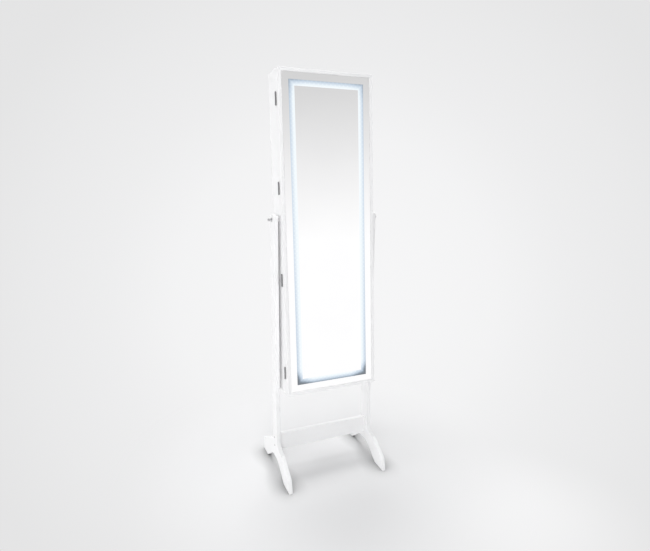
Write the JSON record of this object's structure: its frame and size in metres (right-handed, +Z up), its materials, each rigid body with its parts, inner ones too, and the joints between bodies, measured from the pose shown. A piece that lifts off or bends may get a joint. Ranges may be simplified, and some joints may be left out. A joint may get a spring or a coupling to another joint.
{
  "type": "free-standing jewelry mirror cabinet",
  "caption": "Tall white mirror cabinet for jewelry that tilts between two posts on curved feet; its mirror door has a lit band and opens on side hinges.",
  "frame": {"origin": "on the floor, midway between the toes and the heels and midway between the posts", "axes": "+Z up, +X to the right as seen from the front, +Y to the back; the mirror faces -Y"},
  "size_m": [0.451, 0.349, 1.5626],
  "materials": {
    "white_lacquer": "satin",
    "mirror_silver": "polished",
    "dark_metal": "satin",
    "bright_metal": "satin",
    "grey_felt": "matte",
    "diffuser": "frosted",
    "led": "gloss",
    "white_plastic": "satin",
    "board_brown": "matte"
  },
  "bodies": {
    "stand": {"left_foot": "white_lacquer", "right_foot": "white_lacquer", "left_post": "white_lacquer", "right_post": "white_lacquer", "post_dowels": "board_brown", "post_plugs": "white_plastic", "apron_board": "white_lacquer", "apron_nuts": "dark_metal", "apron_bolts": "dark_metal"},
    "cabinet": {"back_liner": "grey_felt", "case_back_panel": "white_lacquer", "case_bottom": "white_lacquer", "case_hinge_leaf_1": "dark_metal", "case_hinge_leaf_2": "dark_metal", "case_hinge_leaf_3": "dark_metal", "case_hinge_leaf_4": "dark_metal", "case_left_side": "white_lacquer", "case_right_side": "white_lacquer", "case_top": "white_lacquer", "catch_plates": "bright_metal", "earring_battens": "white_lacquer", "earring_board": "grey_felt", "hinge_pins": "dark_metal", "hook_rail": "white_lacquer", "lower_shelf": "white_lacquer", "lower_shelf_lip": "white_lacquer", "necklace_hooks": "bright_metal", "necklace_shelf": "white_lacquer", "necklace_shelf_lip": "white_lacquer", "pivot_inserts": "bright_metal", "pivot_spacers": "white_plastic", "ring_cushion": "grey_felt", "ring_shelf": "white_lacquer", "ring_shelf_lip": "white_lacquer", "upper_shelf": "white_lacquer", "upper_shelf_lip": "white_lacquer"},
    "door": {"door_back_panel": "white_lacquer", "door_bottom_rail": "white_lacquer", "door_hinge_leaf_1": "dark_metal", "door_hinge_leaf_2": "dark_metal", "door_hinge_leaf_3": "dark_metal", "door_hinge_leaf_4": "dark_metal", "door_left_stile": "white_lacquer", "door_liner": "grey_felt", "door_magnets": "bright_metal", "door_right_stile": "white_lacquer", "door_top_rail": "white_lacquer", "mirror_glass": "mirror_silver", "mirror_backing_board": "board_brown", "light_diffuser": "diffuser", "led_strip": "led", "battery_box": "white_plastic", "battery_lid": "white_plastic"},
    "left_knob": {"left_knob": "dark_metal"},
    "right_knob": {"right_knob": "dark_metal"}
  },
  "joints": [
    {"name": "cabinet_tilt", "type": "hinge", "parent": "stand", "child": "cabinet", "pos_m": [0, 0.0065, 1.03], "axis": [-1, 0, 0], "range_deg": [-4.5, 10.5]},
    {"name": "door_swing", "type": "hinge", "parent": "cabinet", "child": "door", "pos_m": [-0.188, -0.02141, 1.0322], "axis": [0, -0.0785, -0.9969], "range_deg": [0, 95]},
    {"name": "left_knob_turn", "type": "hinge", "parent": "cabinet", "child": "left_knob", "pos_m": [0, 0.0065, 1.03], "axis": [1, 0, 0], "continuous": true},
    {"name": "right_knob_turn", "type": "hinge", "parent": "cabinet", "child": "right_knob", "pos_m": [0, 0.0065, 1.03], "axis": [1, 0, 0], "continuous": true}
  ]
}
